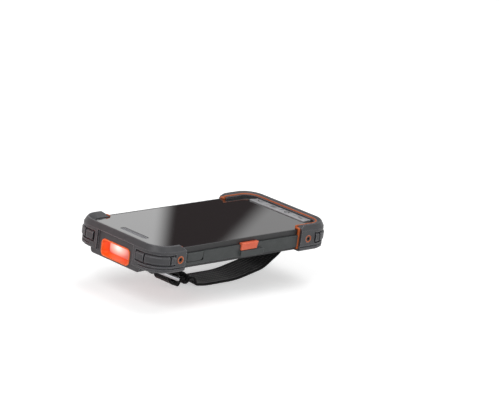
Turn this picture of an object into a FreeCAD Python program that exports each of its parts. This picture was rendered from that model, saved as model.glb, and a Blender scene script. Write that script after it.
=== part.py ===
import FreeCAD, Part
import math
import os
import re
import Sketcher

from FreeCAD import Placement, Rotation, Vector

# Rugged hand-held barcode terminal: +Z out of the screen, -Y out of the scan window,
# +X towards the side with the audio jack cover. Sizes are in millimetres. In the sketches
# Z is measured from the outer face of the screen glass, and every placement adds the height
# of that face above the strap.

SIZES = [
    ("lift", 41.5, "height of the glass above the strap's lowest point"),
    # Case
    ("case_half", 37.5, "half width of the case"),
    ("case_scan", -75.5, "Y of the case at the scan end"),
    ("case_key", 76.4, "Y of the case at the key end"),
    ("case_round", 11, "corner radius of the case"),
    ("wall", 2.2, "wall of the case"),
    ("seam_top", -3.5, "Z of the seam under the front frame"),
    ("seam_low", -12, "Z of the seam over the rear housing"),
    ("back", -14, "Z of the back"),
    ("web_low", -4.7, "Z of the underside of the middle frame's web"),
    # Screen
    ("glass_half", 36.6, "half width of the glass"),
    ("glass_scan", -74.4, "Y of the glass edge at the scan end"),
    ("glass_key", 66.4, "Y of the glass edge at the keys"),
    ("glass_low", -1.1, "Z of the glass underside"),
    ("tape_low", -1.4, "Z of the underside of the glass seal"),
    ("disp_half", 33.2, "half width of the display"),
    ("disp_scan", -57, "Y of the display at the scan end"),
    ("disp_key", 60, "Y of the display at the key end"),
    ("ear_half", 12.5, "half length of the earpiece slot"),
    ("ear_y", -64.7, "Y of the earpiece slot"),
    ("ear_tall", 2.2, "half width of the earpiece slot"),
    ("cam_x", -20, "X of the front camera"),
    ("cam_y", -61.5, "Y of the front camera"),
    # Front keys
    ("key_pitch", 13.3, "pitch of the four front keys"),
    ("key_low_y", 66.9, "Y where the front keys start"),
    ("key_high_y", 74.1, "Y where the front keys end"),
    ("key_up", 0.8, "height of the front keys over the glass"),
    ("key_foot", -1.5, "Z of the underside of the front keys"),
    ("key_bed", -2.4, "Z of the bed under the front keys"),
    # Bumpers and their liners
    ("pad_half", 41, "half width over the bumpers"),
    ("pad_scan", -81.3, "Y of the corner pads at the scan end"),
    ("pad_key", 81.3, "Y of the corner pads at the key end"),
    ("pad_round", 15, "corner radius of the bumpers"),
    ("wing_scan", -55.5, "Y where the scan bumper ends on the sides"),
    ("wing_key", 51.5, "Y where the key bumper ends on the sides"),
    ("crest_in", 2, "inset of the lip's crest"),
    ("crest_up", 3.1, "Z of the lip's crest"),
    ("lip_in", 5.2, "inset of the inner edge of the lip's slope"),
    ("lip_up", 2.3, "Z of the inner edge of the lip's slope"),
    ("lip_foot_in", 7.2, "inset of the lip's foot on the frame and glass"),
    ("lip_foot_up", 0.1, "Z of the lip's foot"),
    ("bevel_low", -0.6, "Z of the lower edge of the bevel"),
    ("pad_low", -15, "Z of the bumper's underside"),
    ("hook_in", 10, "inset of the opening in the bumper's underside"),
    ("groove_top", -11.5, "Z of the top of the groove round the pads"),
    ("groove_low", -12.5, "Z of the bottom of the groove round the pads"),
    ("groove_in", 1.1, "depth of the groove round the pads"),
    ("belt_top", -2.6, "Z of the top of the corner channel"),
    ("belt_low", -10.4, "Z of the bottom of the corner channel"),
    ("belt_in", 1.6, "depth of the corner channel"),
    ("belt_x", 20, "X where the corner channel starts"),
    ("knob_top", -3.6, "Z of the top of the corner blocks"),
    ("knob_low", -9.4, "Z of the bottom of the corner blocks"),
    ("knob_out", 0.7, "how far the corner blocks stand out"),
    ("knob_gap", 1.4, "gap between the corner blocks"),
    ("liner", 1, "thickness of the liner"),
    ("liner_show", 1.3, "how far the liner shows past the bumper"),
    ("rim_in", 5.3, "inset of the outer side of the liner's rim"),
    ("rim_thick", 0.9, "thickness of the liner's rim"),
    ("rim_low", 1.2, "Z of the foot of the liner's rim"),
    ("rim_up", 2.5, "Z of the top of the liner's rim"),
    ("screw_z", -6.5, "Z of the side screws"),
    ("screw_scan", -60.3, "Y of the side screws at the scan end"),
    ("screw_key", 58.4, "Y of the side screws at the key end"),
    ("ring_r", 2.6, "outer radius of the screw ring"),
    ("head_r", 1.7, "radius of the side screw's head"),
    ("shank_r", 0.9, "radius of the side screw's shank"),
    # Scan end
    ("face_y", -79.8, "Y of the scan face between the pads"),
    ("face_half", 17.6, "half width of the scan face"),
    ("nose_half", 24, "half width of the nose"),
    ("nose_low", -18.3, "Z of the nose's underside"),
    ("hump_low", -18, "Z of the hump's underside"),
    ("hump_half", 22.5, "half width of the hump"),
    ("hump_flat", -53.5, "Y where the hump's flat ends"),
    ("hump_foot", -46, "Y where the hump meets the back"),
    ("scan_z", -11.4, "Z of the middle of the scan opening"),
    ("scan_wide", 13.8, "half width of the bezel"),
    ("scan_tall", 5.9, "half height of the bezel"),
    ("scan_round", 3.2, "corner radius of the bezel"),
    ("bezel_rim", 0.9, "rim of the bezel"),
    ("bezel_y", -80.2, "Y of the bezel's front"),
    ("bezel_back", -72.4, "Y of the bezel's rear"),
    ("pane_y", -73.6, "Y of the front of the scan window"),
    # Sides
    ("strip_out", 38.8, "half width over the side strips"),
    ("strip_top", -3.7, "Z of the top of the side strips"),
    ("strip_low", -11.9, "Z of the bottom of the side strips"),
    ("scan_key_out", 40.3, "X of the face of the side scan key"),
    ("scan_key_a", -3.8, "Y where the scan key starts"),
    ("scan_key_b", 11.5, "Y where the scan key ends at its top"),
    ("scan_key_top", -2.6, "Z of the top of the scan key"),
    ("scan_key_low", -7.5, "Z of the bottom of the scan key"),
    ("well_x", 36.6, "X of the floor of the side key wells"),
    ("cover_a", -52.3, "Y where the jack cover starts"),
    ("cover_b", -37.6, "Y where the jack cover ends"),
    ("cover_top", -3.9, "Z of the top of the jack cover"),
    ("cover_low", -9.9, "Z of the bottom of the jack cover"),
    ("jack_y", -45, "Y of the audio jack"),
    ("jack_z", -7, "Z of the audio jack"),
    # Inside
    ("board_half", 29, "half width of the main board"),
    ("board_top", -5.7, "Z of the top of the main board"),
    ("board_low", -6.7, "Z of the underside of the main board"),
    ("bay_half", 28, "half width of the battery bay"),
    ("bay_scan", -34.4, "Y of the bay's end at the scan side"),
    ("bay_key", 42.4, "Y of the bay's end at the key side"),
    ("boss_x", 32, "X of the rear screws"),
    ("boss_r", 2.5, "radius of the bosses for the rear screws"),
    # Strap
    ("bail_y", -60, "Y of the bail's pivot"),
    ("bail_z", -20.6, "Z of the bail's pivot"),
    ("bail_arm", 31.5, "length of the bail's arms"),
    ("bail_half", 13.2, "half width of the bail at the wire's middle"),
    ("bail_wire", 1.2, "radius of the bail's wire"),
    ("bail_tip", 17.6, "X of the bail's ends in the lugs"),
    ("bar_y", 64, "Y of the strap bar"),
    ("bar_z", -18.6, "Z of the strap bar"),
    ("bar_r", 1.5, "radius of the strap bar"),
    ("strap_half", 11.2, "half width of the strap"),
    ("strap_thick", 1.7, "thickness of the strap"),
]

doc = FreeCAD.newDocument("BarcodeTerminal")
dims = doc.addObject("Spreadsheet::Sheet", "Dims")
for row, (alias, value, remark) in enumerate(SIZES, start=1):
    dims.set(f"A{row}", str(value))
    dims.setAlias(f"A{row}", alias)
    dims.set(f"B{row}", remark)
doc.recompute()
ALIASES = {alias for alias, value, remark in SIZES}
nodes = []


def cell(words):
    """An expression in plain aliases, written the way the document reads it."""
    def named(found):
        word = found.group()
        return "Dims." + word if word in ALIASES else word
    return re.sub(r"[a-z_][a-z_0-9]*", named, str(words))


def size(words):
    """The number that an expression gives."""
    return float(dims.evalExpression(cell(words)))


def neg(words):
    return f"-({words})"


def plus(words, more):
    return f"({words}) + ({more})"


# Outlines: each adds its lines to a sketch and binds them to the sheet

def fix_point(sketch, line, end, x, y):
    for kind, words in (("DistanceX", x), ("DistanceY", y)):
        number = sketch.addConstraint(Sketcher.Constraint(kind, -1, 1, line, end, size(words)))
        sketch.setExpression(f"Constraints[{number}]", cell(words))


def polygon(*points):
    """A closed outline through points given as pairs of expressions."""
    def draw(sketch):
        spots = [Vector(size(x), size(y), 0) for x, y in points]
        first = sketch.GeometryCount
        for n, spot in enumerate(spots):
            sketch.addGeometry(Part.LineSegment(spot, spots[(n + 1) % len(spots)]), False)
        for n, (x, y) in enumerate(points):
            after = first + (n + 1) % len(spots)
            sketch.addConstraint(Sketcher.Constraint("Coincident", first + n, 2, after, 1))
        for n, (x, y) in enumerate(points):
            fix_point(sketch, first + n, 1, x, y)
    return draw


def rect(x0, x1, y0, y1):
    return polygon((x0, y0), (x1, y0), (x1, y1), (x0, y1))


def rounded(x0, x1, y0, y1, r):
    """A rectangle with four equal round corners."""
    def draw(sketch):
        a, b, c, d, q = size(x0), size(x1), size(y0), size(y1), size(r)
        first = sketch.GeometryCount
        lines = [((a + q, c), (b - q, c)), ((b, c + q), (b, d - q)), ((b - q, d), (a + q, d)),
                 ((a, d - q), (a, c + q))]
        for start, end in lines:
            sketch.addGeometry(Part.LineSegment(Vector(*start, 0), Vector(*end, 0)), False)
        arcs = [((b - q, c + q), -90), ((b - q, d - q), 0), ((a + q, d - q), 90), ((a + q, c + q), 180)]
        for (x, y), turn in arcs:
            circle_line = Part.Circle(Vector(x, y, 0), Vector(0, 0, 1), q)
            arc = Part.ArcOfCircle(circle_line, math.radians(turn), math.radians(turn + 90))
            sketch.addGeometry(arc, False)
        for n in range(4):
            sketch.addConstraint(Sketcher.Constraint("Tangent", first + n, 2, first + 4 + n, 1))
            sketch.addConstraint(Sketcher.Constraint("Tangent", first + 4 + n, 2, first + (n + 1) % 4, 1))
        for n in range(3):
            sketch.addConstraint(Sketcher.Constraint("Equal", first + 4, first + 5 + n))
        sketch.addConstraint(Sketcher.Constraint("Horizontal", first))
        sketch.addConstraint(Sketcher.Constraint("Vertical", first + 1))
        radius = sketch.addConstraint(Sketcher.Constraint("Radius", first + 4, q))
        sketch.setExpression(f"Constraints[{radius}]", cell(r))
        fix_point(sketch, first, 1, plus(x0, r), y0)
        fix_point(sketch, first + 2, 1, plus(x1, neg(r)), y1)
    return draw


def circle(x, y, r):
    def draw(sketch):
        n = sketch.addGeometry(Part.Circle(Vector(size(x), size(y), 0), Vector(0, 0, 1), size(r)), False)
        radius = sketch.addConstraint(Sketcher.Constraint("Radius", n, size(r)))
        sketch.setExpression(f"Constraints[{radius}]", cell(r))
        fix_point(sketch, n, 3, x, y)
    return draw


# Features of a body. Across X an outline is given in Y and Z, across Y in X and Z, across Z in X and Y

PLANES = {"x": "YZ_Plane", "y": "XZ_Plane", "z": "XY_Plane"}


def new_sketch(body, axis, at, outlines):
    """A sketch across an axis at a coordinate given by an expression."""
    plane = next(o for o in body.Origin.OriginFeatures if o.Role == PLANES[axis])
    sketch = body.newObject("Sketcher::SketchObject", body.Name + "_Outline")
    sketch.AttachmentSupport = [(plane, "")]
    sketch.MapMode = "FlatFace"
    sketch.setExpression("AttachmentOffset.Base.z", cell(neg(at) if axis == "y" else at))
    for draw in outlines:
        draw(sketch)
    sketch.Visibility = False
    return sketch


def new_body(label):
    body = doc.addObject("PartDesign::Body", "Body_" + label)
    body.Label = label
    nodes.append(body)
    place(body)
    return body


def place(body, x="0", y="0", z="0", turn=None):
    """Sets a body in the assembly; Z is measured from the glass."""
    if turn:
        body.Placement = Placement(Vector(), turn)
    body.setExpression("Placement.Base.x", cell(x))
    body.setExpression("Placement.Base.y", cell(y))
    body.setExpression("Placement.Base.z", cell(plus("lift", z)))


def add(body, axis, low, high, *outlines):
    """Material between two coordinates along an axis."""
    sketch = new_sketch(body, axis, high if axis == "y" else low, outlines)
    pad = body.newObject("PartDesign::Pad", body.Name + "_Pad")
    pad.Profile = sketch
    pad.setExpression("Length", cell(plus(high, neg(low))))
    doc.recompute()
    return pad


def take(body, axis, low, high, *outlines):
    """A pocket between two coordinates along an axis."""
    sketch = new_sketch(body, axis, low if axis == "y" else high, outlines)
    pocket = body.newObject("PartDesign::Pocket", body.Name + "_Pocket")
    pocket.Profile = sketch
    pocket.setExpression("Length", cell(plus(high, neg(low))))
    doc.recompute()
    return pocket


def loft(body, axis, kind, *levels):
    """A loft through outlines at given coordinates; kind is Additive or Subtractive."""
    sketches = [new_sketch(body, axis, at, [outline]) for at, outline in levels]
    made = body.newObject(f"PartDesign::{kind}Loft", body.Name + "_Loft")
    made.Profile = sketches[0]
    made.Sections = sketches[1:]
    made.Ruled = True
    doc.recompute()
    return made


def soften(body, kind, amount, chosen):
    """Fillets or chamfers the edges whose middle point passes a test."""
    shape = body.Tip.Shape
    names = []
    for n, edge in enumerate(shape.Edges, start=1):
        middle = edge.valueAt((edge.FirstParameter + edge.LastParameter) / 2)
        if chosen(middle, edge):
            names.append(f"Edge{n}")
    base = body.Tip
    made = body.newObject(f"PartDesign::{kind}", body.Name + "_" + kind)
    made.Base = (base, names)
    made.setExpression("Radius" if kind == "Fillet" else "Size", cell(amount))
    doc.recompute()
    return made


def near(value, words, tolerance=0.02):
    return abs(value - size(words)) < tolerance


# Cover glass, its seal and the display

glass = new_body("cover_glass")
add(glass, "z", "glass_low", "0", rounded("-glass_half", "glass_half", "glass_scan", "glass_key + 9", "9"))
take(glass, "z", "glass_low - 1", "1",
     rect("-glass_half - 1", "glass_half + 1", "glass_key", "glass_key + 12"))
take(glass, "z", "glass_low - 1", "1",
     rounded("-ear_half", "ear_half", "ear_y - ear_tall", "ear_y + ear_tall", "ear_tall - 0.05"))
soften(glass, "Chamfer", "0.25", lambda m, e: near(m.z, "0") and m.y < 66)

seal = new_body("glass_seal")
add(seal, "z", "tape_low", "glass_low",
    rounded("-glass_half + 0.2", "glass_half - 0.2", "glass_scan + 0.2", "glass_key - 0.2", "8"),
    rect("-disp_half - 0.1", "disp_half + 0.1", "disp_scan - 0.1", "disp_key + 0.1"),
    rounded("-ear_half", "ear_half", "ear_y - ear_tall", "ear_y + ear_tall", "ear_tall - 0.05"),
    circle("cam_x", "cam_y", "2.5"))

display = new_body("display_module")
add(display, "z", "seam_top", "glass_low", rect("-disp_half", "disp_half", "disp_scan", "disp_key"))

# Front frame round the glass and the keys

frame = new_body("front_frame")
add(frame, "z", "seam_top", "0", rounded("-case_half", "case_half", "case_scan", "case_key", "case_round"))
take(frame, "z", "tape_low", "1",
     rounded("-glass_half - 0.1", "glass_half + 0.1", "glass_scan - 0.1", "glass_key - 20", "9"))
take(frame, "z", "tape_low", "1", rect("-glass_half - 0.1", "glass_half + 0.1", "0", "glass_key + 0.1"))
take(frame, "z", "seam_top - 1", "tape_low + 0.1",
     rect("-disp_half - 0.1", "disp_half + 0.1", "disp_scan - 0.1", "disp_key + 0.1"))
take(frame, "z", "seam_top - 1", "tape_low + 0.1", circle("cam_x", "cam_y", "2.5"),
     rect("-7", "7", "ear_y - 2.6", "ear_y + 2.6"))
take(frame, "z", "key_bed", "1",
     rect("-key_pitch * 2 - 0.1", "key_pitch * 2 + 0.1", "key_low_y - 0.1", "key_high_y + 0.1"))
for side in ("", "-"):
    take(frame, "z", "seam_top - 1", "scan_key_top + 0.1",
         rect(f"{side}(case_half + 1)", f"{side}well_x", "scan_key_a - 0.2", "scan_key_b + 0.2"))

# Front keys on a dome sheet, the earpiece and the front camera

domes = new_body("key_dome_sheet")
add(domes, "z", "key_bed", "key_bed + 0.2",
    rect("-key_pitch * 2", "key_pitch * 2", "key_low_y", "key_high_y"))
add(domes, "z", "key_bed + 0.2", "key_bed + 0.45",
    *[circle(f"key_pitch * {n}", "70.5", "2.2") for n in (-1.5, -0.5, 0.5, 1.5)])

for n, name in enumerate(("phone", "menu", "home", "back")):
    key = new_body(f"front_key_{name}")
    add(key, "z", "key_foot", "key_up",
        polygon(("-key_pitch / 2 + 0.15", "key_low_y"), ("key_pitch / 2 - 0.15", "key_low_y"),
                ("key_pitch / 2 - 0.15", "key_low_y + 3"), ("key_pitch / 2 - 1", "key_low_y + 5"),
                ("key_pitch / 2 - 0.15", "key_high_y"), ("-key_pitch / 2 + 0.15", "key_high_y"),
                ("-key_pitch / 2 + 1", "key_low_y + 5"), ("-key_pitch / 2 + 0.15", "key_low_y + 3")))
    soften(key, "Chamfer", "0.3", lambda m, e: near(m.z, "key_up"))
    place(key, f"key_pitch * {n - 1.5}")

mesh = new_body("earpiece_mesh")
add(mesh, "z", "glass_low", "-0.6",
    rounded("-ear_half + 0.1", "ear_half - 0.1", "ear_y - ear_tall + 0.1", "ear_y + ear_tall - 0.1",
            "ear_tall - 0.15"))
take(mesh, "z", "glass_low - 1", "0",
     *[rect(f"{n * 1.6 - 0.4}", f"{n * 1.6 + 0.4}", "ear_y - 1.3", "ear_y + 1.3") for n in range(-6, 7)])

earpiece = new_body("earpiece_speaker")
add(earpiece, "z", "seam_top", "glass_low - 0.3", rect("-6.8", "6.8", "ear_y - 2.4", "ear_y + 2.4"))

camera = new_body("front_camera")
add(camera, "z", "seam_top", "glass_low", circle("cam_x", "cam_y", "2.4"))

# Middle frame: side walls and the web that carries the display and the main board

middle = new_body("middle_frame")
add(middle, "z", "seam_low", "seam_top",
    rounded("-case_half", "case_half", "case_scan", "case_key", "case_round"))
take(middle, "z", "seam_low - 1", "web_low",
     rounded("-case_half + wall", "case_half - wall", "case_scan + wall", "case_key - wall",
             "case_round - wall"))
BOSSES = [(f"{side}boss_x", y) for side in ("", "-") for y in ("-52", "47")]
BOARD_BOSSES = [(x, y) for x in ("-26.5", "26.5") for y in ("-50", "69")]
add(middle, "z", "seam_low", "web_low", *[circle(x, y, "boss_r") for x, y in BOSSES])
add(middle, "z", "board_top", "web_low", *[circle(x, y, "2.4") for x, y in BOARD_BOSSES])
take(middle, "z", "seam_low - 1", "-6", *[circle(x, y, "0.95") for x, y in BOSSES])
take(middle, "z", "web_low - 1", "seam_top + 1", rect("-9", "9", "20", "24"))
take(middle, "y", "case_scan - 1", "bezel_back + 0.1",
     rounded("-scan_wide - 0.1", "scan_wide + 0.1", "scan_z - scan_tall - 0.1", "scan_z + scan_tall + 0.1",
             "scan_round"))
take(middle, "y", "case_key - wall - 1", "case_key + 1", rounded("-5.2", "5.2", "-10.3", "-6.3", "1"))
take(middle, "x", "case_half - wall - 1", "case_half + 1", circle("jack_y", "jack_z", "2.7"))
SCREWS = [("screw_scan", "screw_z"), ("screw_key", "screw_z")]
take(middle, "x", "-case_half - 1", "case_half + 1", *[circle(y, z, "shank_r + 0.05") for y, z in SCREWS])
for side in ("", "-"):
    take(middle, "z", "scan_key_low - 0.1", "seam_top + 1",
         rect(f"{side}(case_half + 1)", f"{side}well_x", "scan_key_a - 0.2", "scan_key_b + 0.2"))
take(middle, "x", "-case_half - 1", "case_half + 1", circle("4", "-5.3", "1.1"))
for a, b in (("-30.2", "-21.8"), ("21.8", "44.2")):
    take(middle, "z", "-9.1", "-5.4", rect("-case_half - 1", "-well_x", a, b))

# Rear housing with the hump over the scan engine, the battery bay and the lugs for the strap

rear = new_body("rear_housing")
add(rear, "z", "back", "seam_low",
    rounded("-case_half", "case_half", "case_scan", "case_key", "case_round"))
add(rear, "x", "-hump_half", "hump_half",
    polygon(("case_scan", "back + 1"), ("case_scan", "hump_low"), ("hump_flat", "hump_low"),
            ("hump_foot", "back"), ("hump_foot", "back + 1")))
take(rear, "z", "hump_low + 1.2", "seam_low + 1",
     rounded("-hump_half + 2", "hump_half - 2", "case_scan + wall", "hump_flat - 1", "2"))
take(rear, "z", "back - 1", "seam_low + 1", rect("-bay_half", "bay_half", "bay_scan", "bay_key"))
take(rear, "y", "case_scan - 1", "bezel_back + 0.1",
     rounded("-scan_wide - 0.1", "scan_wide + 0.1", "scan_z - scan_tall - 0.1", "scan_z + scan_tall + 0.1",
             "scan_round"))
for side in ("", "-"):
    bail_lug = ["bail_half + bail_wire + 0.4", "bail_tip + 0.6"]
    bar_lug = ["strap_half + 1", "strap_half + 4"]
    if side:
        bail_lug = [neg(x) for x in reversed(bail_lug)]
        bar_lug = [neg(x) for x in reversed(bar_lug)]
    add(rear, "x", *bail_lug,
        polygon(("bail_y - 4.5", "hump_low + 0.1"), ("bail_y - 2.2", "bail_z - 2.4"),
                ("bail_y + 2.2", "bail_z - 2.4"), ("bail_y + 4.5", "hump_low + 0.1")))
    add(rear, "x", *bar_lug,
        polygon(("bar_y - 5", "back + 0.1"), ("bar_y - 2.6", "bar_z - 2.6"),
                ("bar_y + 2.6", "bar_z - 2.6"), ("bar_y + 4.3", "back + 0.1")))
take(rear, "x", "-bail_tip - 0.2", "bail_tip + 0.2", circle("bail_y", "bail_z", "bail_wire + 0.05"))
take(rear, "x", "-strap_half - 3.5", "strap_half + 3.5", circle("bar_y", "bar_z", "bar_r"))
take(rear, "z", "back - 1", "seam_low + 1", *[circle(x, y, "shank_r + 0.05") for x, y in BOSSES])
take(rear, "z", "back - 1", "back + 1.1", *[circle(x, y, "2.1") for x, y in BOSSES])
take(rear, "z", "back - 1", "seam_low + 1", circle("18", "-40", "4.1"), circle("27", "-40", "1.6"))
take(rear, "z", "back - 1", "back + 0.6", circle("18", "-40", "5"))
take(rear, "z", "back - 1", "seam_low + 1",
     *[rounded(f"{x - 0.6}", f"{x + 0.6}", "48", "58", "0.55") for x in (-26, -23, -20, -17)])
take(rear, "z", "back - 1", "seam_low + 1", rect("18", "30", "49", "54"))
take(rear, "z", "back - 1", "seam_low + 1", rect("-8.1", "8.1", "-44", "bay_scan + 1"))

# Rubber bumpers, built from parametric slabs with boolean cuts

def keep(thing):
    thing.Visibility = False
    return thing


def slab(low, high, *outlines, axis="z"):
    """A solid between two coordinates along an axis."""
    sketch = doc.addObject("Sketcher::SketchObject", "Outline")
    turn = {"z": Rotation(), "y": Rotation(Vector(1, 0, 0), 90), "x": Rotation(Vector(1, 1, 1), 120)}[axis]
    sketch.Placement = Placement(Vector(), turn)
    sketch.setExpression(f"Placement.Base.{axis}", cell(low))
    for draw in outlines:
        draw(sketch)
    made = doc.addObject("Part::Extrusion", "Slab")
    made.Base = sketch
    made.DirMode = "Custom"
    made.Dir = {"z": Vector(0, 0, 1), "y": Vector(0, 1, 0), "x": Vector(1, 0, 0)}[axis]
    made.Solid = True
    made.setExpression("LengthFwd", cell(plus(high, neg(low))))
    keep(sketch)
    return keep(made)


def cut(base, *tools):
    made = doc.addObject("Part::Cut", "Cut")
    made.Base = base
    made.Tool = fuse(*tools) if len(tools) > 1 else tools[0]
    return keep(made)


def fuse(*things):
    made = doc.addObject("Part::MultiFuse", "Fuse")
    made.Shapes = list(things)
    return keep(made)


def common(*things):
    made = doc.addObject("Part::MultiCommon", "Common")
    made.Shapes = list(things)
    return keep(made)


def bridge(low, low_outline, high, high_outline):
    """A ruled solid from one outline up to another."""
    made = doc.addObject("Part::Loft", "Bridge")
    ends = []
    for at, outline in ((low, low_outline), (high, high_outline)):
        sketch = doc.addObject("Sketcher::SketchObject", "Outline")
        sketch.setExpression("Placement.Base.z", cell(at))
        outline(sketch)
        ends.append(keep(sketch))
    made.Sections = ends
    made.Solid = True
    made.Ruled = True
    return keep(made)


def register(thing, label):
    thing.Label = label
    thing.setExpression("Placement.Base.z", "Dims.lift")
    nodes.append(thing)
    return thing


class End:
    """One end of the terminal: its outlines are given by an inset from the pads."""

    def __init__(self, sign, pad_y, wing_y, case_y):
        self.sign = sign
        self.pad_y = pad_y
        self.wing_y = wing_y
        self.case_y = case_y

    def span(self, outer, inner):
        """Orders two Y values for this end."""
        return (outer, inner) if self.sign < 0 else (inner, outer)

    def ring(self, inset):
        """The rounded outline at an inset from the pads, open ended towards the middle."""
        outer = plus(self.pad_y, f"{-self.sign} * ({inset})")
        low, high = self.span(outer, f"{self.sign} * 12")
        return rounded(f"-pad_half + {inset}", f"pad_half - ({inset})", low, high,
                       f"max(pad_round - ({inset}); 1.5)")

    def case_ring(self, out):
        """The outline of the case grown outwards."""
        low, high = self.span(plus(self.case_y, f"{self.sign} * ({out})"), f"{self.sign} * 12")
        return rounded(f"-case_half - ({out})", f"case_half + ({out})", low, high, f"case_round + ({out})")

    def box(self, outer, inner):
        low, high = self.span(outer, inner)
        return rect("-pad_half - 4", "pad_half + 4", low, high)


def bumper(end, name):
    """The rubber bumper of one end, without its screw holes and the channel at its corners."""
    pads = [bridge("pad_low", end.ring("1.3"), "pad_low + 1", end.ring("0.2")),
            slab("pad_low + 1", "bevel_low", end.ring("0")),
            bridge("bevel_low", end.ring("0"), "crest_up - 0.5", end.ring("crest_in - 0.25")),
            bridge("crest_up - 0.5", end.ring("crest_in - 0.25"), "crest_up", end.ring("crest_in + 0.3"))]
    if name == "scan":
        pads.append(slab("face_y", "case_scan", rounded("-nose_half", "nose_half", "nose_low", "-9", "2.4"),
                         axis="y"))
        lip = bridge("lip_foot_up + 0.3", end.ring("lip_foot_in"), "crest_up + 0.01",
                     end.ring("crest_in + 0.9"))
    else:
        lip = bridge("lip_up", end.ring("lip_in"), "crest_up + 0.01", end.ring("crest_in + 0.9"))
    step = slab("rim_low", "lip_up + 0.01", end.ring("lip_in"))
    sill = cut(slab("rim_low - 0.1", "lip_up - 0.5", end.ring("rim_in + rim_thick")),
               slab("rim_low - 1", "lip_up + 1", end.ring("lip_foot_in")))
    opening = slab("0", "lip_up + 0.01", end.ring("lip_foot_in"))
    cavity = slab("back", "lip_foot_up", end.case_ring("liner"))
    floor = slab("nose_low - 1", "back + 0.01", end.ring("hook_in"))
    wings = slab("nose_low - 1", "crest_up + 1", end.box(end.wing_y, "0"))
    groove = cut(slab("groove_low", "groove_top", end.box(plus(end.pad_y, f"{end.sign * 5}"), end.wing_y)),
                 slab("groove_low - 1", "groove_top + 1", end.ring("groove_in")))
    slope = ("2.6", "-0.4") if name == "scan" else ("1.6", "1.2")
    tip = slab("-pad_half - 1", "pad_half + 1",
               polygon((end.wing_y, slope[1]),
                       (plus(end.wing_y, f"{end.sign} * 2 * {slope[0]}"), "crest_up + 0.1"),
                       (plus(end.wing_y, f"{end.sign * -3}"), "crest_up + 0.1"),
                       (plus(end.wing_y, f"{end.sign * -3}"), slope[1])), axis="x")
    if name == "scan":
        return cut(fuse(*pads), cut(fuse(lip, opening), slab("-1", "0.1", end.ring("0"))), cavity, floor,
                   wings, tip), groove
    lip = cut(fuse(lip, step), sill)
    return cut(fuse(*pads), lip, opening, cavity, floor, wings, tip), groove


def corner_belt(end):
    """The channel round both corners and the blocks that stand in it."""
    start = plus(end.pad_y, f"{end.sign * 5}")
    side_end = plus(end.pad_y, f"{-end.sign} * (pad_round + 2)")
    zones = []
    for side in ("", "-"):
        low, high = end.span(start, side_end)
        x0, x1 = ("belt_x", "pad_half + 4") if side == "" else ("-pad_half - 4", "-belt_x")
        zones.append((x0, x1, low, high))
    channel = cut(slab("belt_low", "belt_top", *[rect(*zone) for zone in zones]),
                  slab("belt_low - 1", "belt_top + 1", end.ring("belt_in")))
    band = cut(fuse(bridge("knob_low", end.ring("0.1"), "knob_low + 0.8", end.ring("-knob_out")),
                    slab("knob_low + 0.8", "knob_top - 0.8", end.ring("-knob_out")),
                    bridge("knob_top - 0.8", end.ring("-knob_out"), "knob_top", end.ring("0.1"))),
               slab("knob_low - 1", "knob_top + 1", end.ring("belt_in + 0.3")))
    blocks = []
    for side in (1, -1):
        pieces = [("belt_x + 1.4", "belt_x + 8", "-3", "5"),
                  ("belt_x + 8 + knob_gap", "pad_half + 4", "-3", "11.6"),
                  ("belt_x + 12", "pad_half + 4", "11.6 + knob_gap", "pad_round + 1")]
        for x0, x1, near_y, far_y in pieces:
            low, high = end.span(plus(end.pad_y, f"{-end.sign} * ({near_y})"),
                                 plus(end.pad_y, f"{-end.sign} * ({far_y})"))
            a, b = (x0, x1) if side > 0 else (neg(x1), neg(x0))
            blocks.append(rounded(a, b, low, high, "0.5"))
    return channel, common(band, slab("knob_low", "knob_top", *blocks))


def liner_of(end, name):
    """The orange liner between the bumper and the case, with the rim that shows along the lip."""
    show = end.wing_y
    if name == "key":
        show = plus(end.wing_y, f"{-end.sign} * liner_show")
    wall = cut(slab("back + 0.2", "lip_foot_up", end.case_ring("liner")),
               slab("back - 1", "lip_foot_up + 1", end.case_ring("0")),
               slab("back - 1", "crest_up + 1", end.box(show, "0")))
    if name == "scan":
        return wall
    rim = cut(slab("rim_low", "rim_up", end.ring("rim_in")), slab("0", "4", end.ring("rim_in + rim_thick")),
              slab("back - 1", "crest_up + 1", end.box(show, "0")))
    rim_half = "pad_half - rim_in - rim_thick"
    bead = cut(slab("back + 0.4", "rim_up", end.box(end.wing_y, show)),
               slab("back - 1", "rim_up + 1", rect(neg(rim_half), rim_half, "-90", "90")),
               slab("back - 1", "lip_foot_up", rect("-case_half", "case_half", "-90", "90")),
               slab("back - 1", "4", rect("-50", "-pad_half + 1.2", "-90", "90"),
                    rect("pad_half - 1.2", "50", "-90", "90")))
    return fuse(wall, rim, bead)


ends = {"scan": End(-1, "pad_scan", "wing_scan", "case_scan"),
        "key": End(1, "pad_key", "wing_key", "case_key")}
screw_y = {"scan": "screw_scan", "key": "screw_key"}

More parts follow.
